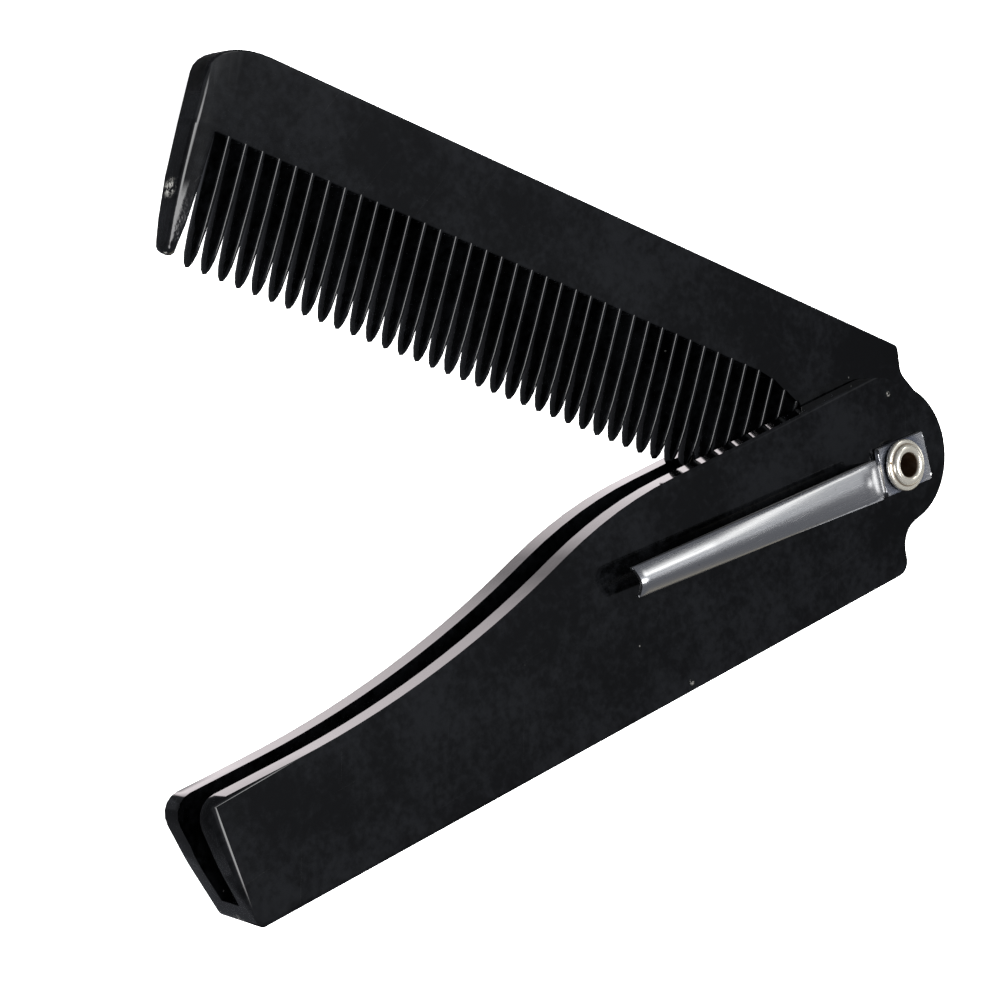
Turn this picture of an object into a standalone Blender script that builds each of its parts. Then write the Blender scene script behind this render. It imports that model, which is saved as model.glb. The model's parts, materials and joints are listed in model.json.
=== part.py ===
# Folding pocket comb: a slotted handle, a toothed blade that folds into it, the hollow
# rivet that they turn on, and the sprung pocket clip that the rivet holds to the handle.
#
# Everything is in metres. The handle lies on its back face at Z = 0, runs toward -X, and
# its slot is open toward +Y. The origin is on the back face, level with the rivet's axis.
# Pieces are drawn about the rivet's axis and parented to an empty that stands on it.
# Outlines are drawn in a flat frame of their own: "along" runs from the rivet to the free
# end, and "across" runs toward the open side (handle) or toward the spine (blade).

import math

import bmesh
import bpy
from mathutils import Matrix, Vector

# How far the rivet's axis stands from the origin, along +X.
RIVET_FROM_ORIGIN = 0.0450

# Thicknesses, measured upward from the back face.
LEAF_THICKNESS = 0.0024
SLOT_WIDTH = 0.0040
BLADE_THICKNESS = 0.0034
RUNNING_GAP = 0.0003
SEAT_GAP = 0.0002
HANDLE_THICKNESS = 2 * LEAF_THICKNESS + SLOT_WIDTH
MIDDLE = HANDLE_THICKNESS / 2

# Handle outline.
CLOSED_EDGE = -0.01215
OPEN_EDGE_WIDE = 0.0109
OPEN_EDGE_NARROW = 0.0021
SWEEP_START = 0.0340
SWEEP_TURN = 0.0520
SWEEP_END = 0.0927
FREE_END = 0.1047
FREE_END_LEAN = 0.0016
LOBE_RADIUS = 0.0082
LOBE_CENTRE = (-0.0001, 0.00125)
LOBE_FROM_DEG = 125
LOBE_TO_DEG = 262
LOBE_STEPS = 22
SWEEP_STEPS = 20
SHOULDER = 0.0025
HANDLE_BEVEL = 0.0004
WEB_THICKNESS = 0.0024
WEB_START = 0.0075
SLOT_CORNER_RADIUS = 0.0008

# The handle's corners from the lobe round the closed edge to the sweep, and the one corner
# between the sweep and the lobe: where each would be sharp, its radius and its facets.
HANDLE_CORNERS = [
    {"along": SHOULDER, "across": -0.0074, "radius": 0.0034, "facets": 6},
    {"along": SHOULDER, "across": CLOSED_EDGE, "radius": 0.0018, "facets": 5},
    {"along": FREE_END - 0.0018, "across": CLOSED_EDGE, "radius": 0.0008, "facets": 4},
    {"along": FREE_END - 0.0006, "across": -0.0050, "radius": 0.0250, "facets": 3},
    {"along": FREE_END, "across": OPEN_EDGE_NARROW, "radius": 0.0026, "facets": 5},
]
WIDE_CORNER = {"along": -0.0006, "across": OPEN_EDGE_WIDE, "radius": 0.0060, "facets": 5}

# Blade outline.
BLADE_END = 0.1033
SPINE_EDGE = 0.01442
TOOTH_TIP = -0.00912
TOOTH_PITCH = 0.0022
TOOTH_COUNT = 39
FIRST_TOOTH = 0.09867
ROOT_LINE = 0.00465
ROOT_FALL_START = 0.0202
ROOT_FALL_SLOPE = 0.30
BLADE_CORNER_LENGTH = 0.0074
BLADE_CORNER_HEIGHT = 0.0040
BLADE_CORNER_STEPS = 8
TANG_RADIUS = 0.0074
TANG_SIDE = (-0.0074, 0.0010)
TANG_FROM_DEG = 172
TANG_TO_DEG = 315
TANG_STEPS = 16
BLADE_BEVEL = 0.00030
TOOTH_HALF_WIDTH = 0.00080
CREST_HALF_WIDTH = 0.00022
GUARD_ROUNDING = 0.0006
GUARD_TIP_CENTRE = (0.10158, -0.00784)
GUARD_TIP_RADIUS = 0.0010
GUARD_TIP_FROM_DEG = 205
GUARD_TIP_TO_DEG = 335
GUARD_TIP_STEPS = 4

# The blade's corners from the spine to the tang, as for the handle.
BLADE_CORNERS = [
    {"along": 0.0011, "across": SPINE_EDGE, "radius": 0.0008, "facets": 4},
    {"along": -0.0003, "across": 0.0115, "radius": 0.0022, "facets": 4},
    {"along": -0.0050, "across": 0.0094, "radius": 0.0030, "facets": 4},
]

# How far the blade stands open from folded.
OPEN_ANGLE_DEG = 37.1

# Rivet, a turned hollow eyelet.
HOLE_RADIUS = 0.0014
SHANK_RADIUS = 0.0020
RING_RADIUS = 0.0024
FLANGE_RADIUS = 0.0030
FLANGE_THICKNESS = 0.0006
FLANGE_ROUNDING = 0.0002
RING_HEIGHT = 0.0005
RING_STEPS = 6
RIVET_SIDES = 32

# How far a cutter runs past the faces that it cuts.
PAST = 0.001

# Pocket clip, stamped from sheet.
SHEET = 0.0005
CLIP_ANGLE_DEG = 3.8
CLIP_STANDOFF = 0.0024
CLIP_RIB_START = 0.0075
CLIP_TIP = 0.0454
CLIP_HALF_WIDTH = 0.00240
CLIP_TIP_HALF_WIDTH = 0.00170
CLIP_FLANGE = 0.00035
CLIP_ARCH = 0.0011
CLIP_ARCH_AT_START = 0.0005
CLIP_ARCH_RISE = 0.0070
CLIP_RIB_FULLNESS = 0.8
CLIP_STATIONS = 14
CLIP_SECTION_STEPS = 12

# The clip's root, from the square tab over the neck to where its rib begins. Lift is a
# share of the standoff.
CLIP_ROOT_ROWS = [
    {"along": -0.0043, "half": 0.0029, "lift": 0},
    {"along": 0.0035, "half": 0.0029, "lift": 0},
    {"along": 0.0036, "half": 0.0017, "lift": 0},
    {"along": 0.0060, "half": 0.0017, "lift": 0.95},
    {"along": 0.0063, "half": CLIP_HALF_WIDTH, "lift": 1},
    {"along": 0.0070, "half": CLIP_HALF_WIDTH, "lift": 1},
]

# A tooth from root to tip: how far down it each row lies, how wide it is there as a
# share of its width at the root, and how far its front and back crests stand from the
# blade's middle, as shares of half its thickness. The tips lean toward the back.
TOOTH_ROWS = [
    {"down": 0.00, "width": 1.00, "front": 1.00, "back": 1.00},
    {"down": 0.40, "width": 0.92, "front": 0.88, "back": 1.00},
    {"down": 0.72, "width": 0.80, "front": 0.68, "back": 0.98},
    {"down": 0.88, "width": 0.64, "front": 0.42, "back": 0.88},
    {"down": 0.96, "width": 0.40, "front": 0.15, "back": 0.70},
]
TOOTH_TIP_ROW = {"front": -0.08, "back": 0.48}

# The guard tooth at the blade's end, by the same rows: how far its outer and inner sides
# lie in from the blade's end, and its crests as for a tooth.
GUARD_ROWS = [
    {"down": 0.00, "outer": 0.0000, "inner": 0.00335, "front": 1.00, "back": 1.00},
    {"down": 0.40, "outer": 0.0001, "inner": 0.00315, "front": 0.88, "back": 1.00},
    {"down": 0.72, "outer": 0.0005, "inner": 0.00290, "front": 0.70, "back": 0.98},
    {"down": 0.88, "outer": 0.0008, "inner": 0.00265, "front": 0.54, "back": 0.90},
]
GUARD_TIP_ROW = {"front": 0.36, "back": 0.72}
BODY_ROW = {"front": 1.00, "back": 1.00}


def material(name, colour, roughness, metallic):
    made = bpy.data.materials.new(name)
    made.use_nodes = True
    shader = made.node_tree.nodes["Principled BSDF"]
    shader.inputs["Base Color"].default_value = (*colour, 1.0)
    shader.inputs["Roughness"].default_value = roughness
    shader.inputs["Metallic"].default_value = metallic
    return made


def new_object(name, mesh_data, finish):
    """Add an object, parented to the empty on the rivet's axis."""
    made = bpy.data.objects.new(name, mesh_data)
    bpy.context.scene.collection.objects.link(made)
    made.parent = bpy.data.objects["rivet_axis"]
    if finish:
        made.data.materials.append(finish)
    return made


def cutter(name, mesh_data):
    made = new_object(name, mesh_data, None)
    made.hide_render = True
    made.display_type = "WIRE"
    return made


def cut(target, tool):
    boolean = target.modifiers.new("cut " + tool.name, "BOOLEAN")
    boolean.operation = "DIFFERENCE"
    boolean.solver = "EXACT"
    boolean.object = tool


def arc(centre, radius, from_deg, to_deg, steps):
    points = []
    for step in range(steps + 1):
        angle = math.radians(from_deg + (to_deg - from_deg) * step / steps)
        points.append((centre[0] + radius * math.cos(angle), centre[1] + radius * math.sin(angle)))
    return points


def rounded(before, corner, after, radius, steps):
    """Points of the arc that rounds a corner between two straight runs."""
    corner = Vector(corner)
    toward_before = (Vector(before) - corner).normalized()
    toward_after = (Vector(after) - corner).normalized()
    half_angle = toward_before.angle(toward_after) / 2
    reach = radius / math.tan(half_angle)
    centre = corner + (toward_before + toward_after).normalized() * radius / math.sin(half_angle)
    start = corner + toward_before * reach - centre
    finish = corner + toward_after * reach - centre
    turn = start.angle_signed(finish)
    points = []
    for step in range(steps + 1):
        spoke = start.copy()
        spoke.rotate(Matrix.Rotation(-turn * step / steps, 2))
        points.append(tuple(centre + spoke))
    return points


def rounded_run(before, corners, after):
    """Round the corners of a run of straight edges that comes from one point and leaves
    toward another."""
    places = [before, *((corner["along"], corner["across"]) for corner in corners), after]
    points = []
    for index, corner in enumerate(corners):
        points += rounded(*places[index:index + 3], corner["radius"], corner["facets"])
    return points


def prism(name, outline, bottom, top):
    """A closed flat-sided solid over an outline given in part coordinates."""
    mesh = bmesh.new()
    base = [mesh.verts.new((x, y, bottom)) for x, y in outline]
    face = mesh.faces.new(base)
    raised = bmesh.ops.extrude_face_region(mesh, geom=[face])
    moved = [item for item in raised["geom"] if isinstance(item, bmesh.types.BMVert)]
    bmesh.ops.translate(mesh, verts=moved, vec=(0, 0, top - bottom))
    bmesh.ops.recalc_face_normals(mesh, faces=mesh.faces)
    data = bpy.data.meshes.new(name)
    mesh.to_mesh(data)
    mesh.free()
    return data


def cylinder(name, radius, bottom, top):
    return prism(name, arc((0, 0), radius, 0, 360 - 360 / RIVET_SIDES, RIVET_SIDES - 1), bottom, top)


def open_edge(along):
    """The handle's open edge: wide, then an S-shaped sweep down to the narrow part."""
    slope = 2 * (OPEN_EDGE_WIDE - OPEN_EDGE_NARROW) / (SWEEP_END - SWEEP_START)
    if along < SWEEP_TURN:
        reach = max(along - SWEEP_START, 0)
        return OPEN_EDGE_WIDE - slope * reach ** 2 / (2 * (SWEEP_TURN - SWEEP_START))
    reach = max(SWEEP_END - along, 0)
    return OPEN_EDGE_NARROW + slope * reach ** 2 / (2 * (SWEEP_END - SWEEP_TURN))


def handle_outline():
    """Round the leaf from the lobe, along the closed edge and back by the open edge."""
    lobe = arc(LOBE_CENTRE, LOBE_RADIUS, LOBE_FROM_DEG, LOBE_TO_DEG, LOBE_STEPS)
    points = lobe + rounded_run(lobe[-1], HANDLE_CORNERS, (SWEEP_END, OPEN_EDGE_NARROW))
    for step in range(SWEEP_STEPS + 1):
        along = SWEEP_END + (SWEEP_START - SWEEP_END) * step / SWEEP_STEPS
        points.append((along, open_edge(along)))
    return points + rounded_run((SWEEP_START, OPEN_EDGE_WIDE), [WIDE_CORNER], lobe[0])


def handle_frame(points):
    """Turn along/across into the part's X and Y for the handle."""
    return [(-along, across) for along, across in points]


def lean_free_end(data):
    """The free end leans in toward the back face, most of all at the closed edge."""
    for vertex in data.vertices:
        if -vertex.co.x > SWEEP_END + PAST:
            depth = 1 - vertex.co.z / HANDLE_THICKNESS
            share = (OPEN_EDGE_NARROW - vertex.co.y) / (OPEN_EDGE_NARROW - CLOSED_EDGE)
            vertex.co.x += FREE_END_LEAN * depth * share


def make_handle(plastic):
    outline = handle_frame(handle_outline())
    handle = new_object("handle", prism("handle", outline, 0, HANDLE_THICKNESS), plastic)
    lean_free_end(handle.data)
    bevel = handle.modifiers.new("softened outer edges", "BEVEL")
    bevel.width = HANDLE_BEVEL
    bevel.segments = 2
    bevel.limit_method = "ANGLE"
    bevel.angle_limit = math.radians(60)

    web_inside = CLOSED_EDGE + WEB_THICKNESS
    web_corner = {"along": WEB_START, "across": web_inside, "radius": SLOT_CORNER_RADIUS, "facets": 3}
    low = CLOSED_EDGE - PAST
    high = OPEN_EDGE_WIDE + PAST
    lobe_end = LOBE_CENTRE[0] - LOBE_RADIUS - PAST
    slot = handle_frame([
        (lobe_end, low),
        (WEB_START, low),
        *rounded_run((WEB_START, low), [web_corner], (FREE_END, web_inside)),
        (FREE_END + PAST, web_inside),
        (FREE_END + PAST, high),
        (lobe_end, high),
    ])
    slot_tool = cutter("slot cutter", prism("slot", slot, LEAF_THICKNESS, LEAF_THICKNESS + SLOT_WIDTH))
    cut(handle, slot_tool)
    bore = cylinder("leaf bore", SHANK_RADIUS + RUNNING_GAP, -PAST, HANDLE_THICKNESS + PAST)
    cut(handle, cutter("leaf bore cutter", bore))
    recess_depth = FLANGE_THICKNESS + 2 * SEAT_GAP
    recess = cylinder("rivet recess", FLANGE_RADIUS + RUNNING_GAP, -PAST, recess_depth)
    cut(handle, cutter("rivet recess cutter", recess))
    return handle


def root_line(along):
    """Where the teeth begin: it falls away over the last teeth before the tang."""
    return ROOT_LINE - ROOT_FALL_SLOPE * max(ROOT_FALL_START - along, 0)


def back_outline():
    """The blade's outline from its end corner along the spine, round the tang to the teeth."""
    corner_centre = (BLADE_END - BLADE_CORNER_LENGTH, SPINE_EDGE - BLADE_CORNER_HEIGHT)
    points = []
    for step in range(BLADE_CORNER_STEPS + 1):
        angle = math.pi / 2 * step / BLADE_CORNER_STEPS
        points.append((corner_centre[0] + BLADE_CORNER_LENGTH * math.cos(angle),
                       corner_centre[1] + BLADE_CORNER_HEIGHT * math.sin(angle)))
    points += rounded_run((corner_centre[0], SPINE_EDGE), BLADE_CORNERS, TANG_SIDE)
    return points + arc((0, 0), TANG_RADIUS, TANG_FROM_DEG, TANG_TO_DEG, TANG_STEPS)


def grow_inward(before, here, after, distance):
    """Shift one point toward the inside of a counter-clockwise outline."""
    first = (Vector(here) - Vector(before)).normalized()
    second = (Vector(after) - Vector(here)).normalized()
    inward = Vector((-first.y - second.y, first.x + second.x)).normalized()
    return tuple(Vector(here) + inward * distance)


def tooth_points(centre, depth):
    """One tooth, down one side and up the other. Depth is 0 at mid-thickness and 1 at the
    crest; each point is (along, across, row)."""
    root = root_line(centre)
    half_here = TOOTH_HALF_WIDTH + (CREST_HALF_WIDTH - TOOTH_HALF_WIDTH) * depth
    down_side = []
    for row in TOOTH_ROWS:
        across = root + (TOOTH_TIP - root) * row["down"]
        down_side.append((centre - half_here * row["width"], across, row))
    up_side = [(2 * centre - along, across, row) for along, across, row in reversed(down_side)]
    return down_side + [(centre, TOOTH_TIP, TOOTH_TIP_ROW)] + up_side


def guard_points(depth, inset):
    """The guard tooth: down its inner side, round its tip and up its outer side."""
    inner = []
    outer = []
    for row in GUARD_ROWS:
        across = ROOT_LINE + (TOOTH_TIP - ROOT_LINE) * row["down"]
        inner.append((BLADE_END - row["inner"] + GUARD_ROUNDING * depth, across, row))
        outer.append((BLADE_END - row["outer"] - inset, across, row))
    radius = GUARD_TIP_RADIUS - (GUARD_ROUNDING * depth + inset) / 2
    centre = (GUARD_TIP_CENTRE[0] + (GUARD_ROUNDING * depth - inset) / 2, GUARD_TIP_CENTRE[1])
    tip = arc(centre, radius, GUARD_TIP_FROM_DEG, GUARD_TIP_TO_DEG, GUARD_TIP_STEPS)
    return inner, [(x, y, GUARD_TIP_ROW) for x, y in tip], outer


def blade_layer(level):
    """The whole outline at one level, from -1 at the front crests to 1 at the back ones."""
    depth = abs(level)
    inset = BLADE_BEVEL if depth == 1 else 0
    inner, tip, outer = guard_points(depth, inset)
    rim = back_outline()
    points = []
    for index, point in enumerate(rim):
        if inset and 0 < index < len(rim) - 1:
            point = grow_inward(rim[index - 1], point, rim[index + 1], inset)
        elif inset:
            point = (point[0] - inset if index == 0 else point[0], point[1])
        points.append((*point, BODY_ROW))
    for tooth in reversed(range(TOOTH_COUNT)):
        points += tooth_points(FIRST_TOOTH - tooth * TOOTH_PITCH, depth)
    points += inner + tip + outer[::-1]
    quarter = BLADE_THICKNESS / 4
    return [(x, y, quarter * (row["back"] - row["front"] + level * (row["back"] + row["front"])))
            for x, y, row in points]


def cover_face(mesh, layer, rim_count):
    """Cover one face of the blade: strips down each tooth and the guard, one face above."""
    rows = len(TOOTH_ROWS)
    per_tooth = 2 * rows + 1
    above = list(layer[:rim_count])
    for tooth in range(TOOTH_COUNT):
        start = rim_count + tooth * per_tooth
        strip = layer[start:start + per_tooth]
        above += [strip[0], strip[-1]]
        for row in range(rows - 1):
            mesh.faces.new((strip[row], strip[row + 1], strip[-2 - row], strip[-1 - row]))
        mesh.faces.new((strip[rows - 1], strip[rows], strip[rows + 1]))
    guard = layer[rim_count + TOOTH_COUNT * per_tooth:]
    above += [guard[0], guard[-1]]
    guard_rows = len(GUARD_ROWS)
    for row in range(guard_rows - 1):
        mesh.faces.new((guard[row], guard[row + 1], guard[-2 - row], guard[-1 - row]))
    mesh.faces.new(guard[guard_rows - 1:len(guard) - guard_rows + 1])
    mesh.faces.new(above)


def make_blade(plastic):
    """Stack five outlines from the front crests to the back crests and skin them."""
    edge_level = 1 - 2 * BLADE_BEVEL / BLADE_THICKNESS
    mesh = bmesh.new()
    layers = []
    for level in (-1, -edge_level, 0, edge_level, 1):
        layers.append([mesh.verts.new(point) for point in blade_layer(level)])
    for lower, upper in zip(layers, layers[1:]):
        for index in range(len(lower)):
            after = (index + 1) % len(lower)
            mesh.faces.new((lower[index], lower[after], upper[after], upper[index]))
    rim_count = len(back_outline())
    cover_face(mesh, layers[0], rim_count)
    cover_face(mesh, layers[-1], rim_count)
    bmesh.ops.recalc_face_normals(mesh, faces=mesh.faces)
    data = bpy.data.meshes.new("comb_blade")
    mesh.to_mesh(data)
    mesh.free()
    blade = new_object("comb_blade", data, plastic)
    blade.location = (0, 0, MIDDLE)
    blade.rotation_euler = (0, math.pi, math.radians(-OPEN_ANGLE_DEG))
    bore = cylinder("blade bore", SHANK_RADIUS + RUNNING_GAP, 0, HANDLE_THICKNESS)
    cut(blade, cutter("blade bore cutter", bore))
    return blade


def make_rivet(metal):
    """Turn the eyelet's closed section about the axis."""
    tab_top = HANDLE_THICKNESS + SEAT_GAP + SHEET
    flange_low = tab_top + SEAT_GAP
    flange_high = flange_low + FLANGE_THICKNESS
    ring_middle = (HOLE_RADIUS + RING_RADIUS) / 2
    ring_half = (RING_RADIUS - HOLE_RADIUS) / 2
    section = [
        (HOLE_RADIUS, SEAT_GAP),
        (FLANGE_RADIUS, SEAT_GAP),
        (FLANGE_RADIUS, SEAT_GAP + FLANGE_THICKNESS),
        (SHANK_RADIUS, SEAT_GAP + FLANGE_THICKNESS),
        (SHANK_RADIUS, flange_low),
        (FLANGE_RADIUS - FLANGE_ROUNDING / 2, flange_low),
        (FLANGE_RADIUS, flange_low + FLANGE_ROUNDING / 2),
        (FLANGE_RADIUS, flange_high - FLANGE_ROUNDING),
        (FLANGE_RADIUS - FLANGE_ROUNDING, flange_high),
        (RING_RADIUS, flange_high),
    ]
    for step in range(1, RING_STEPS + 1):
        angle = math.pi * step / RING_STEPS
        height = flange_high + RING_HEIGHT * math.sin(angle)
        section.append((ring_middle + ring_half * math.cos(angle), height))
    mesh = bmesh.new()
    corners = [mesh.verts.new((radius, 0, height)) for radius, height in section]
    edges = [mesh.edges.new((corners[i], corners[(i + 1) % len(corners)])) for i in range(len(corners))]
    bmesh.ops.spin(mesh, geom=corners + edges, axis=(0, 0, 1), cent=(0, 0, 0),
                   angle=2 * math.pi, steps=RIVET_SIDES, use_merge=True)
    bmesh.ops.remove_doubles(mesh, verts=mesh.verts, dist=0.000001)
    bmesh.ops.recalc_face_normals(mesh, faces=mesh.faces)
    data = bpy.data.meshes.new("rivet")
    mesh.to_mesh(data)
    mesh.free()
    rivet = new_object("rivet", data, metal)
    rivet.data.shade_smooth()
    rivet.data.set_sharp_from_angle(angle=math.radians(40))
    return rivet


def clip_stations():
    """Stations along the clip: distance from the rivet, half width, lift and arch."""
    stations = [{**row, "arch": 0} for row in CLIP_ROOT_ROWS]
    for step in range(CLIP_STATIONS + 1):
        share = step / CLIP_STATIONS
        along = CLIP_RIB_START + (CLIP_TIP - CLIP_RIB_START) * share
        half = CLIP_HALF_WIDTH + (CLIP_TIP_HALF_WIDTH - CLIP_HALF_WIDTH) * share
        risen = min((along - CLIP_RIB_START) / CLIP_ARCH_RISE, 1)
        arch = CLIP_ARCH_AT_START + (CLIP_ARCH - CLIP_ARCH_AT_START) * risen
        stations.append({"along": along, "half": half, "lift": 1, "arch": arch})
    return stations


def rib_height(across, station):
    """How high the rib stands at one place across the clip."""
    inner = min(abs(across) / (station["half"] - CLIP_FLANGE), 1)
    return station["arch"] * math.cos(inner * math.pi / 2) ** CLIP_RIB_FULLNESS


def clip_section(station):
    """The clip's cross-section as a closed ring: the top left to right, then the underside."""
    standoff = (CLIP_STANDOFF - SEAT_GAP) * station["lift"]
    centre_line = HANDLE_THICKNESS + SEAT_GAP + standoff + SHEET / 2
    middle = []
    for step in range(CLIP_SECTION_STEPS + 1):
        across = station["half"] * (2 * step / CLIP_SECTION_STEPS - 1)
        middle.append(Vector((across, centre_line + rib_height(across, station))))
    upper = []
    lower = []
    for step, point in enumerate(middle):
        run = middle[min(step + 1, CLIP_SECTION_STEPS)] - middle[max(step - 1, 0)]
        on_rim = step in (0, CLIP_SECTION_STEPS)
        normal = Vector((0, 1)) if on_rim else Vector((-run.y, run.x)).normalized()
        upper.append(point + normal * SHEET / 2)
        lower.append(point - normal * SHEET / 2)
    return upper + lower[::-1]


def make_clip(metal):
    mesh = bmesh.new()
    rings = []
    for station in clip_stations():
        ring = [mesh.verts.new((-station["along"], across, height)) for across, height in clip_section(station)]
        rings.append(ring)
    for near, far in zip(rings, rings[1:]):
        for index in range(len(near)):
            after = (index + 1) % len(near)
            mesh.faces.new((near[index], near[after], far[after], far[index]))
    mesh.faces.new(rings[0])
    mesh.faces.new(rings[-1])
    bmesh.ops.recalc_face_normals(mesh, faces=mesh.faces)
    data = bpy.data.meshes.new("pocket_clip")
    mesh.to_mesh(data)
    mesh.free()
    clip = new_object("pocket_clip", data, metal)
    clip.rotation_euler = (0, 0, math.radians(-CLIP_ANGLE_DEG))
    tab_past = HANDLE_THICKNESS + SEAT_GAP + SHEET + PAST
    bore = cylinder("clip bore", SHANK_RADIUS + RUNNING_GAP, HANDLE_THICKNESS, tab_past)
    cut(clip, cutter("clip bore cutter", bore))
    return clip


def main():
    for old in list(bpy.data.objects):
        bpy.data.objects.remove(old, do_unlink=True)
    axis = bpy.data.objects.new("rivet_axis", None)
    axis.location = (RIVET_FROM_ORIGIN, 0, 0)
    bpy.context.scene.collection.objects.link(axis)
    black_plastic = material("black plastic", (0.012, 0.012, 0.015), 0.28, 0.0)
    bright_steel = material("bright steel", (0.62, 0.62, 0.63), 0.22, 1.0)
    nickel = material("nickel plate", (0.80, 0.77, 0.70), 0.16, 1.0)
    make_handle(black_plastic)
    make_blade(black_plastic)
    make_rivet(nickel)
    make_clip(bright_steel)


main()
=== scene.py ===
import json
import math

import bmesh
import bpy
from mathutils import Matrix, Vector


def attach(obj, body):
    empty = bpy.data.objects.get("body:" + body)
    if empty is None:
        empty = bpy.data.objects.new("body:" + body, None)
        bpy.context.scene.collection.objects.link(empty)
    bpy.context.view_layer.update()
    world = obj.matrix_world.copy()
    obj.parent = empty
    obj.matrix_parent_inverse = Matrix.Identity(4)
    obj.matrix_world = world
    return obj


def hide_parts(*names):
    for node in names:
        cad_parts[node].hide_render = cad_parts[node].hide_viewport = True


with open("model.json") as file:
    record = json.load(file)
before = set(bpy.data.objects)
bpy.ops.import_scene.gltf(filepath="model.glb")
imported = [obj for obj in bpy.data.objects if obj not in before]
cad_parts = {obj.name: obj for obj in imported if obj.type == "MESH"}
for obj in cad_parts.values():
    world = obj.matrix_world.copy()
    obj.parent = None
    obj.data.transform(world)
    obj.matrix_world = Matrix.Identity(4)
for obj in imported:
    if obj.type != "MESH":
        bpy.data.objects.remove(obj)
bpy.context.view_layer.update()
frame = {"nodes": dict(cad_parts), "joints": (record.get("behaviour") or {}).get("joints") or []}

mm = 0.001
hinge = frame["joints"][0]
pivot = Vector(hinge["pos_m"])
openAngle = -hinge["range_deg"][0]
rivetFoot = Vector((pivot.x, pivot.y, 0))
turnedOpen = Matrix.Rotation(math.radians(-openAngle), 4, "Z") @ Matrix.Rotation(math.pi, 4, "Y")
bladeSpace = Matrix.Translation(pivot) @ turnedOpen
sameSpot = 0.002 * mm
sliver = 0.00001 * mm
sameFlat = math.radians(0.05)
rowSlack = 0.01  # in mm, for picking a row of vertices by its place


# small helpers for edit mode

def pickOnly(piece):
    if bpy.context.object and bpy.context.object.mode == "EDIT":
        bpy.ops.object.mode_set(mode="OBJECT")
    bpy.ops.object.select_all(action="DESELECT")
    piece.select_set(True)
    bpy.context.view_layer.objects.active = piece


def startEdit(piece, kind="VERT"):
    pickOnly(piece)
    bpy.ops.object.mode_set(mode="EDIT")
    bpy.ops.mesh.select_mode(type=kind)
    bpy.ops.mesh.select_all(action="DESELECT")


def endEdit():
    bpy.ops.object.mode_set(mode="OBJECT")


# selects by a test on each vertex or edge, and says how many it found
def select(piece, verts=None, edges=None):
    shape = bmesh.from_edit_mesh(piece.data)
    bpy.ops.mesh.select_all(action="DESELECT")
    found = 0
    for group, test in ((shape.verts, verts), (shape.edges, edges)):
        for item in group if test else ():
            if test(item):
                item.select_set(True)
                found += 1
    shape.select_flush_mode()
    bmesh.update_edit_mesh(piece.data)
    return found


def cutAt(spot, facing):
    bpy.ops.mesh.select_all(action="SELECT")
    bpy.ops.mesh.bisect(plane_co=spot, plane_no=facing)


def applyModifier(piece, kind, settings):
    pickOnly(piece)
    modifier = piece.modifiers.new(kind.lower(), kind)
    for name, value in settings.items():
        setattr(modifier, name, value)
    bpy.ops.object.modifier_apply(modifier=modifier.name)


# drops zero-length edges and slivers that a cut or a bevel leaves
def dropSlivers(piece):
    startEdit(piece)
    bpy.ops.mesh.select_all(action="SELECT")
    bpy.ops.mesh.dissolve_degenerate(threshold=sliver)
    endEdit()


# smooth shading, with broad flats kept flat beside their rounded edges
def smoothOff(piece, angle):
    dropSlivers(piece)
    pickOnly(piece)
    bpy.ops.object.shade_smooth_by_angle(angle=math.radians(angle))
    applyModifier(piece, "WEIGHTED_NORMAL", {"keep_sharp": True, "weight": 90})


def settle(piece):
    pickOnly(piece)
    bpy.ops.object.transform_apply(location=True, rotation=True, scale=True)


def mergedCopy(nodeName, pieceName):
    shape = frame["nodes"][nodeName].data.copy()
    shape.materials.clear()
    piece = bpy.data.objects.new(pieceName, shape)
    bpy.context.scene.collection.objects.link(piece)
    startEdit(piece)
    bpy.ops.mesh.select_all(action="SELECT")
    bpy.ops.mesh.remove_doubles(threshold=sameSpot)
    bpy.ops.mesh.dissolve_limited(angle_limit=sameFlat)
    endEdit()
    return piece


def finishPiece(piece, nodeName, body, finish):
    piece.data.materials.clear()
    piece.data.materials.append(finish)
    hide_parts(nodeName)
    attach(piece, body)
    print("made", piece.name, "with", len(piece.data.polygons), "faces")


# shader maths as plain expressions

class Signal:
    def __init__(self, sheet, socket):
        self.sheet = sheet
        self.socket = socket

    def joined(self, operation, first, second):
        return self.sheet.add("ShaderNodeMath", {"operation": operation}, {0: first, 1: second})

    def __add__(self, other):
        return self.joined("ADD", self, other)

    def __mul__(self, other):
        return self.joined("MULTIPLY", self, other)

    __radd__ = __add__


class NodeSheet:
    def __init__(self, tree):
        self.tree = tree

    def feed(self, node, feeds):
        for name, value in feeds.items():
            if isinstance(value, Signal):
                self.tree.links.new(value.socket, node.inputs[name])
            else:
                node.inputs[name].default_value = value

    def add(self, kind, settings, feeds, output=0):
        node = self.tree.nodes.new(kind)
        for name, value in settings.items():
            setattr(node, name, value)
        self.feed(node, feeds)
        return Signal(self, node.outputs[output])

    def step(self, value, low, high, toLow=0.0, toHigh=1.0):
        feeds = {"Value": value, "From Min": low, "From Max": high, "To Min": toLow, "To Max": toHigh}
        return self.add("ShaderNodeMapRange", {"interpolation_type": "SMOOTHSTEP"}, feeds)

    def mixed(self, share, first, second):
        return self.add("ShaderNodeMix", {"data_type": "RGBA"}, {0: share, 6: first, 7: second}, 2)

    def vector(self, operation, first, second=(0, 0, 0), output=0):
        return self.add("ShaderNodeVectorMath", {"operation": operation}, {0: first, 1: second}, output)


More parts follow.
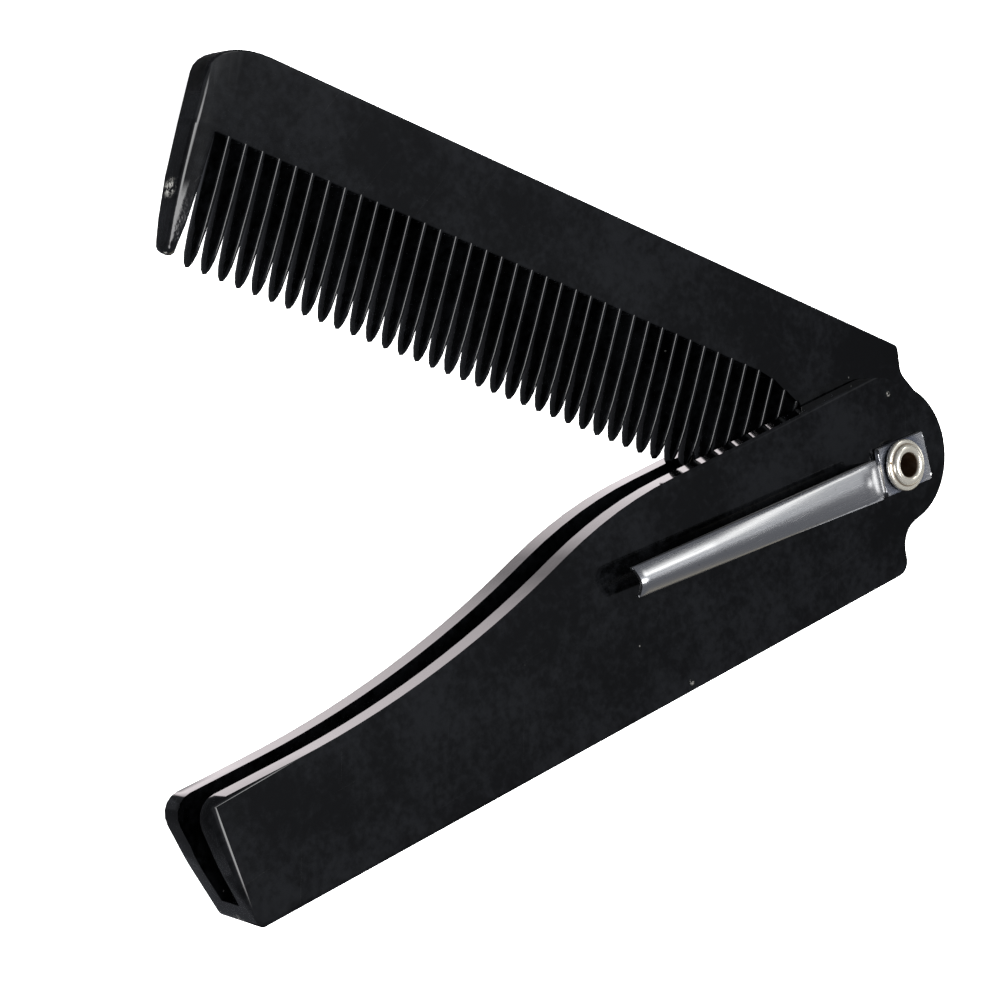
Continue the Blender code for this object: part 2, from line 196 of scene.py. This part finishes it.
class Finish(NodeSheet):
    def __init__(self, name, fixed):
        self.material = bpy.data.materials.new(name)
        self.material.use_nodes = True
        super().__init__(self.material.node_tree)
        self.shader = self.tree.nodes["Principled BSDF"]
        self.feed(self.shader, fixed)
        self.place = self.add("ShaderNodeTexCoord", {}, {}, "Object")

    def noise(self, place, scale, detail=2.0, rough=0.5):
        feeds = {"Vector": place, "Scale": scale, "Detail": detail, "Roughness": rough}
        return self.add("ShaderNodeTexNoise", {}, feeds)

    # noise in streaks: the way they run, and how long and how wide they are in mm
    def streaks(self, angle, length, width, detail=2.0):
        feeds = {"Vector": self.place, "Rotation": (0, 0, math.radians(angle))}
        feeds["Scale"] = (length * mm, width * mm, length * mm)
        place = self.add("ShaderNodeMapping", {"vector_type": "TEXTURE"}, feeds)
        return self.noise(place, 1.0, detail)

    def near(self, spot, reach, soft):
        away = self.vector("DISTANCE", self.place, spot, "Value")
        return self.step(away, reach * mm, (reach + soft) * mm, 1.0, 0.0)

    def bump(self, height, distance, strength, below=None):
        feeds = {"Height": height, "Distance": distance * mm, "Strength": strength}
        if below:
            feeds["Normal"] = below
        return self.add("ShaderNodeBump", {}, feeds)


# black moulded plastic, with faint hairlines, dust and the marks seen on this comb

plastic = {
    "dark": (0.0001, 0.00011, 0.00013, 1),
    "light": (0.0024, 0.0026, 0.0030, 1),
    "dust": (0.16, 0.16, 0.155, 1),
    "scuff": (0.42, 0.41, 0.38, 1),
    "roughness": 0.075,
    "smudge": 0.03,
    "scratch": 0.08,
    "dustShown": 0.35,
    "cloud": {"broad": 90, "fine": 1100, "broadShare": 0.6, "fineShare": 0.4, "low": 0.40, "high": 0.64},
    "hairlines": [
        {"turn": 0, "length": 16, "width": 0.38, "low": 0.70, "high": 0.75},
        {"turn": 63, "length": 22, "width": 0.46, "low": 0.73, "high": 0.77},
    ],
    "crumb": {"scale": 1500, "low": 0.44, "high": 0.56},
    "ripple": {"scale": 55, "depth": 0.10, "strength": 0.2},
    "grain": {"scale": 1300, "depth": 0.004, "strength": 0.4},
    "wornScale": 2600,
}


def plasticFinish(name, grainAngle, scuffs, worn=None, dull=None):
    look = Finish(name, {"Metallic": 0.0, "IOR": 1.5})
    cloud = plastic["cloud"]
    broad = look.noise(look.place, cloud["broad"], 4, 0.6) * cloud["broadShare"]
    mottle = broad + look.noise(look.place, cloud["fine"], 3, 0.6) * cloud["fineShare"]
    smudge = look.step(look.noise(look.place, 45, 4, 0.6), 0.42, 0.68)
    hairline = 0.0
    for line in plastic["hairlines"]:
        streak = look.streaks(grainAngle + line["turn"], line["length"], line["width"])
        hairline = look.step(streak, line["low"], line["high"]) + hairline
    cells = look.add("ShaderNodeTexVoronoi", {"feature": "F1"}, {"Vector": look.place, "Scale": 300.0})
    dust = look.step(cells, 0.022, 0.040, 1.0, 0.0) * look.step(look.noise(look.place, 330, 0), 0.61, 0.66)
    crumb = plastic["crumb"]
    broken = look.step(look.noise(look.place, crumb["scale"], 4, 0.75), crumb["low"], crumb["high"])
    scuffed = 0.0
    for scuff in scuffs:
        patch = look.near(scuff["at"], scuff["reach"], scuff["soft"])
        scuffed = patch * broken * scuff["strength"] + scuffed
    colour = look.mixed(look.step(mottle, cloud["low"], cloud["high"]), plastic["dark"], plastic["light"])
    colour = look.mixed(dust * plastic["dustShown"], colour, plastic["dust"])
    colour = look.mixed(scuffed, colour, plastic["scuff"])
    rough = plastic["roughness"] + smudge * plastic["smudge"] + hairline * plastic["scratch"]
    rough = rough + scuffed * 0.5
    if dull:
        height = look.vector("DOT_PRODUCT", look.place, (0, 0, 1), "Value")
        side = look.step(height, dull["below"] * mm, (dull["below"] + 0.2) * mm, 1.0, 0.0)
        rough = look.near(dull["at"], dull["reach"], dull["soft"]) * side * dull["rough"] + rough
    ripple, grain = plastic["ripple"], plastic["grain"]
    dents = look.bump(look.noise(look.place, ripple["scale"], 1), ripple["depth"], ripple["strength"])
    grains = look.noise(look.place, grain["scale"], 3, 0.6)
    dents = look.bump(grains, grain["depth"], grain["strength"], dents)
    dents = look.bump(scuffed + hairline * 0.1, 0.03, 0.6, dents)
    if worn:
        down = look.vector("DOT_PRODUCT", look.place, worn["toward"], "Value")
        low = look.step(down, worn["from"] * mm, worn["to"] * mm)
        nicks = low * look.noise(look.place, plastic["wornScale"], 1)
        dents = look.bump(nicks, worn["depth"], 0.7, dents)
    look.feed(look.shader, {"Base Color": colour, "Roughness": rough, "Normal": dents})
    return look.material


# handle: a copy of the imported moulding

handle = {
    "smooth": 44,
    "grain": 4,
    "scuffs": [
        {"at": (-0.0566, -0.0120, 0.0044), "reach": 0.2, "soft": 1.2, "strength": 0.6},
        {"at": (-0.0558, -0.0120, 0.0024), "reach": 0.2, "soft": 0.9, "strength": 0.5},
        {"at": (0.0057, -0.0112, 0.0088), "reach": 0.10, "soft": 0.35, "strength": 0.3},
        {"at": (-0.0001, -0.0046, 0.0088), "reach": 0.03, "soft": 0.12, "strength": 0.3},
        {"at": (0.0377, 0.0112, 0.0088), "reach": 0.08, "soft": 0.25, "strength": 0.4},
        {"at": (0.0464, 0.0083, 0.0088), "reach": 0.08, "soft": 0.3, "strength": 0.35},
    ],
}


def makeHandle():
    piece = mergedCopy("handle", "handleShell")
    smoothOff(piece, handle["smooth"])
    finish = plasticFinish("handlePlastic", handle["grain"], handle["scuffs"])
    finishPiece(piece, "handle", "handle", finish)


# toothed blade: its front falls away toward the teeth and the guard, and the teeth's crests are eased

blade = {
    "halfThick": 1.7,
    "rootRows": [(8.2, 0.0), (7.4, 0.008), (6.6, 0.024), (5.9, 0.048), (5.3, 0.076), (4.8, 0.10)],
    "guardRows": [(99.3, 0.0), (100.2, 0.01), (101.1, 0.035), (101.9, 0.07), (102.6, 0.11)],
    "teeth": {"first": 98.67, "pitch": 2.2, "count": 39, "from": 1.5, "wider": 1.16},
    "crest": {"edge": 0.14, "sharp": 50, "from": 4.7, "to": -7.6, "front": -0.5},
    "smooth": 44,
    "dull": {"at": (-0.0292, 0.0715, 0.0044), "reach": 3.6, "soft": 1.2, "below": 5.6, "rough": 0.8},
    "worn": {"toward": (-0.603, -0.798, 0), "from": -26.2, "to": -21.0, "depth": 0.03},
    "scuffs": [
        {"at": (-0.0387, 0.0606, 0.0042), "reach": 0.3, "soft": 1.0, "strength": 0.6},
        {"at": (-0.0345, 0.0635, 0.0061), "reach": 0.05, "soft": 0.12, "strength": 1.0},
        {"at": (-0.0354, 0.0618, 0.0061), "reach": 0.06, "soft": 0.13, "strength": 1.0},
        {"at": (-0.0414, 0.0547, 0.0044), "reach": 0.10, "soft": 0.20, "strength": 0.9},
    ],
}


def makeBlade():
    piece = mergedCopy("comb_blade", "toothedBlade")
    piece.data.transform(bladeSpace.inverted())
    startEdit(piece)
    for across, _ in blade["rootRows"]:
        cutAt((0, across * mm, 0), (0, 1, 0))
    for along, _ in blade["guardRows"]:
        cutAt((along * mm, 0, 0), (1, 0, 0))
    for rows, axis, side in ((blade["rootRows"], 1, -1), (blade["guardRows"], 0, 1)):
        done = 1.0
        for place, drop in rows:
            share = (1 - drop / blade["halfThick"]) / done
            done *= share
            select(piece, verts=lambda v: v.co.z < 0 and side * (v.co[axis] / mm - place) > -rowSlack)
            bpy.ops.transform.resize(value=(1, 1, share), center_override=(0, 0, 0))

    teeth = blade["teeth"]
    for tooth in range(teeth["count"]):
        middle = (teeth["first"] - tooth * teeth["pitch"]) * mm
        half = teeth["pitch"] / 2 * mm
        select(piece, verts=lambda v: v.co.y < teeth["from"] * mm and abs(v.co.x - middle) < half)
        bpy.ops.transform.resize(value=(teeth["wider"], 1, 1), center_override=(middle, 0, 0))

    crest = blade["crest"]

    def onCrest(edge):
        ends = [vert.co / mm for vert in edge.verts]
        heights = [end.y for end in ends]
        onTooth = min(heights) > crest["to"] and max(heights) < crest["from"]
        onFront = max(end.z for end in ends) < crest["front"]
        return onTooth and onFront and edge.calc_face_angle(0) > math.radians(crest["sharp"])

    bpy.ops.mesh.select_mode(type="EDGE")
    found = select(piece, edges=onCrest)
    bpy.ops.mesh.bevel(offset=crest["edge"] * mm, segments=3, profile=0.5, clamp_overlap=False)
    endEdit()
    print("eased", found, "crest edges")
    piece.data.transform(bladeSpace)
    smoothOff(piece, blade["smooth"])
    finish = plasticFinish("bladePlastic", -openAngle, blade["scuffs"], blade["worn"], blade["dull"])
    finishPiece(piece, "comb_blade", "blade", finish)


# pocket clip: sheet steel with a domed rib between narrow flanges, and a stepped neck and tab

clip = {
    "turn": 176.2,
    "sheet": 0.5,
    "under": 11.2,
    "near": 6.3,
    "tip": 45.4,
    "half": 2.4,
    "tipHalf": 1.7,
    "taperFrom": 7.5,
    "flange": 0.35,
    "rows": 78,
    "columns": 24,
    "shoulders": {"half": 1.05, "from": 7.7, "lift": 0.50, "reach": 1.0},
    "crown": {"from": 9.0, "lift": 0.58, "reach": 1.9},
    "curl": 0.07,
    "lip": 0.14,
    "ribRise": (0.42, 34.0),
    "neck": [
        (6.15, 1.84, 11.18), (6.00, 1.76, 11.14), (5.85, 1.71, 11.08), (5.68, 1.70, 10.98),
        (5.42, 1.70, 10.76), (5.05, 1.70, 10.28), (4.62, 1.70, 9.68), (4.24, 1.70, 9.26),
        (3.90, 1.70, 9.06), (3.62, 1.74, 9.0),
        (3.50, 2.75, 9.0), (3.40, 2.90, 9.0), (0.0, 2.90, 9.0), (-4.05, 2.90, 9.0), (-4.25, 2.78, 9.0),
        (-4.30, 2.60, 9.0),
    ],
    "hole": 2.3,
    "edge": 0.11,
    "edgeSharp": 60,
    "smooth": 48,
}


def makeClip():
    bpy.ops.object.select_all(action="DESELECT")
    bpy.ops.mesh.primitive_grid_add(x_subdivisions=clip["rows"], y_subdivisions=clip["columns"], size=1)
    piece = bpy.context.object
    piece.name = "springClip"
    long = clip["tip"] - clip["near"]
    piece.scale = (long * mm, 2 * clip["half"] * mm, 1)
    piece.location = ((clip["near"] + long / 2) * mm, 0, clip["under"] * mm)
    settle(piece)

    startEdit(piece)
    inner = clip["half"] - clip["flange"]
    for side in (-1, 1):
        cutAt((0, side * inner * mm, 0), (0, 1, 0))
    shoulders = clip["shoulders"]
    crown = clip["crown"]
    lifts = [(shoulders, shoulders["half"], "SPHERE"), (crown, 0.01, "SMOOTH")]
    for lift, half, falloff in lifts:
        select(piece, verts=lambda v: abs(v.co.y) < half * mm and v.co.x > lift["from"] * mm)
        bpy.ops.transform.translate(
            value=(0, 0, lift["lift"] * mm), use_proportional_edit=True,
            proportional_edit_falloff=falloff, proportional_size=lift["reach"] * mm)
    select(piece, verts=lambda v: abs(v.co.y) > (clip["half"] - 0.05) * mm)
    bpy.ops.transform.translate(value=(0, 0, clip["curl"] * mm))
    select(piece, verts=lambda v: v.co.x > (clip["tip"] - 0.05) * mm)
    bpy.ops.transform.translate(value=(0, 0, -clip["lip"] * mm))
    lowest, risenAt = clip["ribRise"]
    for row in range(clip["rows"] + 1):
        along = clip["near"] + long * row / clip["rows"]
        taper = max(along - clip["taperFrom"], 0) / (clip["tip"] - clip["taperFrom"])
        narrow = 1 + (clip["tipHalf"] / clip["half"] - 1) * taper
        risen = lowest + (1 - lowest) * min((along - clip["near"]) / (risenAt - clip["near"]), 1)
        select(piece, verts=lambda v: abs(v.co.x / mm - along) < rowSlack)
        bpy.ops.transform.resize(value=(1, narrow, risen), center_override=(0, 0, clip["under"] * mm))

    bpy.ops.mesh.select_mode(type="EDGE")
    select(piece, edges=lambda e: max(vert.co.x for vert in e.verts) < (clip["near"] + rowSlack) * mm)
    before = (clip["near"], clip["half"], clip["under"])
    for along, half, height in clip["neck"]:
        shift = ((along - before[0]) * mm, 0, (height - before[2]) * mm)
        bpy.ops.mesh.extrude_edges_move(TRANSFORM_OT_translate={"value": shift})
        bpy.ops.transform.resize(value=(1, half / before[1], 1), center_override=(0, 0, 0))
        before = (along, half, height)
    endEdit()

    thickening = {"thickness": clip["sheet"] * mm, "offset": 1, "use_even_offset": True}
    applyModifier(piece, "SOLIDIFY", thickening)
    bpy.ops.object.select_all(action="DESELECT")
    bpy.ops.mesh.primitive_cylinder_add(vertices=64, radius=clip["hole"] * mm, depth=4 * mm,
                                        location=(0, 0, 9 * mm))
    punch = bpy.context.object
    applyModifier(piece, "BOOLEAN", {"operation": "DIFFERENCE", "solver": "FAST", "object": punch})
    bpy.data.objects.remove(punch, do_unlink=True)
    edging = {"width": clip["edge"] * mm, "segments": 3, "limit_method": "ANGLE"}
    edging["angle_limit"] = math.radians(clip["edgeSharp"])
    applyModifier(piece, "BEVEL", edging)
    piece.rotation_euler = (0, 0, math.radians(clip["turn"]))
    piece.location = rivetFoot
    settle(piece)
    smoothOff(piece, clip["smooth"])
    finishPiece(piece, "pocket_clip", "handle", steelFinish())


steel = {
    "grey": (0.70, 0.71, 0.73, 1),
    "warm": (0.80, 0.79, 0.78, 1),
    "spot": (0.20, 0.18, 0.15, 1),
    "spotShown": 0.5,
    # tab: a painted reflection, a dull darker blue-grey mixed over the steel around the rivet
    "tab": {"at": (0.045, 0, 0.0095), "reach": 3.3, "soft": 1.2, "shown": 0.8},
    "tabPaintedReflectionColour": (0.24, 0.27, 0.36, 1),
    "roughness": 0.21,
    "drawn": 0.10,
    "scratch": 0.15,
}


def steelFinish():
    look = Finish("clipSteel", {"Metallic": 1.0})
    cloud = look.noise(look.place, 120, 3)
    drawn = look.streaks(clip["turn"], 9, 0.10, 3)
    scratch = look.step(look.streaks(clip["turn"] + 4, 5, 0.05, 1), 0.70, 0.76)
    spots = look.step(look.noise(look.place, 1900, 2, 0.6), 0.70, 0.78)
    colour = look.mixed(cloud, steel["grey"], steel["warm"])
    colour = look.mixed(spots * steel["spotShown"], colour, steel["spot"])
    # painted reflection: the tab around the rivet is mixed toward a dull, darker blue-grey
    tab = steel["tab"]
    onTabPaintedReflection = look.near(tab["at"], tab["reach"], tab["soft"])
    colour = look.mixed(onTabPaintedReflection * tab["shown"], colour, steel["tabPaintedReflectionColour"])
    rough = steel["roughness"] + drawn * steel["drawn"] + scratch * steel["scratch"]
    waves = look.bump(look.noise(look.place, 160, 1), 0.03, 0.3)
    lines = look.bump(drawn, 0.003, 0.5, waves)
    look.feed(look.shader, {"Base Color": colour, "Roughness": rough, "Normal": lines})
    return look.material


# rivet: a hollow eyelet turned from its profile, radius and height in mm

rivet = {
    "sides": 96,
    "bore": 1.4,
    "foot": 0.2,
    "profile": [
        (2.85, 0.2), (3.0, 0.34), (3.0, 0.66), (2.9, 0.8), (2.0, 0.8), (2.0, 9.7), (2.86, 9.7), (3.0, 9.82),
        (3.0, 10.06), (2.94, 10.19), (2.80, 10.27), (2.58, 10.29), (2.46, 10.27), (2.40, 10.33),
    ],
    "ring": {"middle": 1.9, "half": 0.5, "low": 10.33, "high": 0.46, "steps": 10},
    "smooth": 50,
}


def makeRivet():
    bpy.ops.object.select_all(action="DESELECT")
    bpy.ops.mesh.primitive_circle_add(vertices=rivet["sides"], radius=rivet["bore"] * mm,
                                      location=(0, 0, rivet["foot"] * mm))
    piece = bpy.context.object
    piece.name = "hollowRivet"
    settle(piece)
    ring = rivet["ring"]
    rows = list(rivet["profile"])
    for step in range(1, ring["steps"] + 1):
        angle = math.pi * step / ring["steps"]
        radius = ring["middle"] + ring["half"] * math.cos(angle)
        rows.append((radius, ring["low"] + ring["high"] * math.sin(angle)))
    rows.append((rivet["bore"], rivet["foot"]))
    startEdit(piece, "EDGE")
    bpy.ops.mesh.select_all(action="SELECT")
    before = (rivet["bore"], rivet["foot"])
    for radius, height in rows:
        bpy.ops.mesh.extrude_edges_move(TRANSFORM_OT_translate={"value": (0, 0, (height - before[1]) * mm)})
        wider = radius / before[0]
        bpy.ops.transform.resize(value=(wider, wider, 1), center_override=(0, 0, 0))
        before = (radius, height)
    bpy.ops.mesh.select_all(action="SELECT")
    bpy.ops.mesh.remove_doubles(threshold=sameSpot)
    bpy.ops.mesh.normals_make_consistent(inside=False)
    endEdit()
    piece.location = rivetFoot
    settle(piece)
    smoothOff(piece, rivet["smooth"])
    finishPiece(piece, "rivet", "handle", nickelFinish())


# radii in mm
nickel = {
    "bright": (0.88, 0.85, 0.76, 1),
    "yellow": (0.80, 0.75, 0.63, 1),
    "tarnish": (0.10, 0.055, 0.025, 1),
    "bore": (1.44, 1.62),
    "groove": (2.34, 2.42, 2.50, 2.60),
    "rim": (2.90, 3.0),
    "grooveShown": 0.75,
    "rimShown": 0.3,
    "pitShown": 0.4,
    "stain": (0.0425, 0.0011, 0.0103),
    "roughness": 0.12,
}


def nickelFinish():
    look = Finish("rivetNickel", {"Metallic": 0.88})
    spoke = look.vector("MULTIPLY", look.vector("SUBTRACT", look.place, rivetFoot), (1, 1, 0))
    radius = look.vector("LENGTH", spoke, output="Value")
    uneven = look.noise(look.place, 900, 3)
    boreEdge = [size * mm for size in nickel["bore"]]
    grooveEdges = [size * mm for size in nickel["groove"]]
    rimEdge = [size * mm for size in nickel["rim"]]
    bore = look.step(radius + uneven * (0.1 * mm), *boreEdge, 1.0, 0.0)
    groove = look.step(radius, *grooveEdges[:2]) * look.step(radius, *grooveEdges[2:], 1.0, 0.0)
    rim = look.step(radius, *rimEdge) * nickel["rimShown"]
    pits = look.step(look.noise(look.place, 2100, 2, 0.6), 0.66, 0.74)
    stain = look.near(nickel["stain"], 0.10, 0.12)
    dark = bore
    for mark in (groove * nickel["grooveShown"], stain, rim + pits * nickel["pitShown"]):
        dark = look.add("ShaderNodeMath", {"operation": "MAXIMUM"}, {0: dark, 1: mark})
    colour = look.mixed(uneven, nickel["bright"], nickel["yellow"])
    colour = look.mixed(dark, colour, nickel["tarnish"])
    rough = nickel["roughness"] + uneven * 0.08 + dark * 0.25
    dents = look.bump(look.noise(look.place, 700, 2), 0.012, 0.5)
    look.feed(look.shader, {"Base Color": colour, "Roughness": rough, "Normal": dents})
    return look.material


# floor, light and camera

studio = {
    "paper": (0.84, 0.84, 0.84, 1),
    "paperLight": (0.86, 0.86, 0.86, 1),
    "paperGlow": 1.0,  # keeps the paper white under the comb, as in the photo
    "dim": (0.115, 0.12, 0.135),
    "glows": [
        {"toward": (0.16, -0.08, 0.985), "full": 9, "out": 19, "colour": (7.5, 7.5, 7.5)},
        {"toward": (0.00, 0.20, 0.98), "full": 12, "out": 40, "colour": (0.25, 0.26, 0.28)},
        {"toward": (0.45, -0.05, 0.89), "full": 11, "out": 21, "colour": (0.11, 0.115, 0.125)},
        {"toward": (0.60, 0.49, 0.63), "full": 3, "out": 11, "colour": (2.5, 2.5, 2.45)},
        {"toward": (0.58, 0.25, 0.78), "full": 9, "out": 22, "colour": (0.34, 0.35, 0.36)},
        {"toward": (0.92, -0.20, 0.33), "full": 3, "out": 8, "colour": (2.4, 2.4, 2.4)},
        {"toward": (0.52, 0.33, -0.79), "full": 8, "out": 16, "colour": (2.4, 2.2, 2.25)},
        {"toward": (0.60, -0.70, -0.40), "full": 10, "out": 30, "colour": (0.28, 0.24, 0.15)},
    ],
    "lamps": [
        {"name": "overhead", "at": (-0.05, 0.05, 0.95), "size": 0.97, "power": 26},
        {"name": "side", "at": (-0.35, -0.60, 0.60), "size": 0.50, "power": 6},
    ],
    "camera": (-0.25109, 0.10236, 0.31407),
    "lookAlong": (0.600723, -0.214566, -0.770125),
    "roll": 88.927,
    "lens": 134.24,
    "sensor": 36,
}


def makeStudio():
    bpy.ops.object.select_all(action="DESELECT")
    bpy.ops.mesh.primitive_plane_add(size=6, location=(0, 0, 0))
    floor = bpy.context.object
    floor.name = "floor"
    floor.visible_glossy = False  # the glows below stand in for what the comb reflects of the table
    fixed = {"Roughness": 0.75, "Emission Color": (1, 1, 1, 1), "Emission Strength": studio["paperGlow"]}
    paper = Finish("floorPaper", fixed)
    fibre = paper.noise(paper.place, 900, 2)
    paper.feed(paper.shader, {"Base Color": paper.mixed(fibre, studio["paper"], studio["paperLight"])})
    floor.data.materials.append(paper.material)

    world = bpy.data.worlds.new("studio")
    bpy.context.scene.world = world
    world.use_nodes = True
    sky = NodeSheet(world.node_tree)
    direction = sky.add("ShaderNodeTexCoord", {}, {}, "Generated")
    colour = studio["dim"]
    for glow in studio["glows"]:
        facing = sky.vector("DOT_PRODUCT", direction, Vector(glow["toward"]).normalized(), "Value")
        edges = [math.cos(math.radians(glow[name])) for name in ("out", "full")]
        lit = sky.add("ShaderNodeVectorMath", {"operation": "SCALE"},
                      {0: glow["colour"], "Scale": sky.step(facing, *edges)})
        colour = sky.vector("ADD", lit, colour)
    sky.feed(world.node_tree.nodes["Background"], {"Color": colour, "Strength": 1.0})

    for lamp in studio["lamps"]:
        bpy.ops.object.light_add(type="AREA", location=lamp["at"])
        made = bpy.context.object
        made.name = lamp["name"]
        made.data.size = lamp["size"]
        made.data.energy = lamp["power"]
        made.visible_glossy = False
        made.rotation_euler = (-Vector(lamp["at"])).to_track_quat("-Z", "Y").to_euler()

    bpy.ops.object.camera_add(location=studio["camera"])
    camera = bpy.context.object
    turn = Vector(studio["lookAlong"]).to_track_quat("-Z", "Y").to_matrix().to_4x4()
    camera.rotation_euler = (turn @ Matrix.Rotation(math.radians(studio["roll"]), 4, "Z")).to_euler()
    camera.data.lens = studio["lens"]
    camera.data.sensor_width = studio["sensor"]
    bpy.context.scene.camera = camera
    bpy.context.scene.view_settings.view_transform = "Standard"
    print("studio ready")


makeHandle()
makeBlade()
makeClip()
makeRivet()
makeStudio()
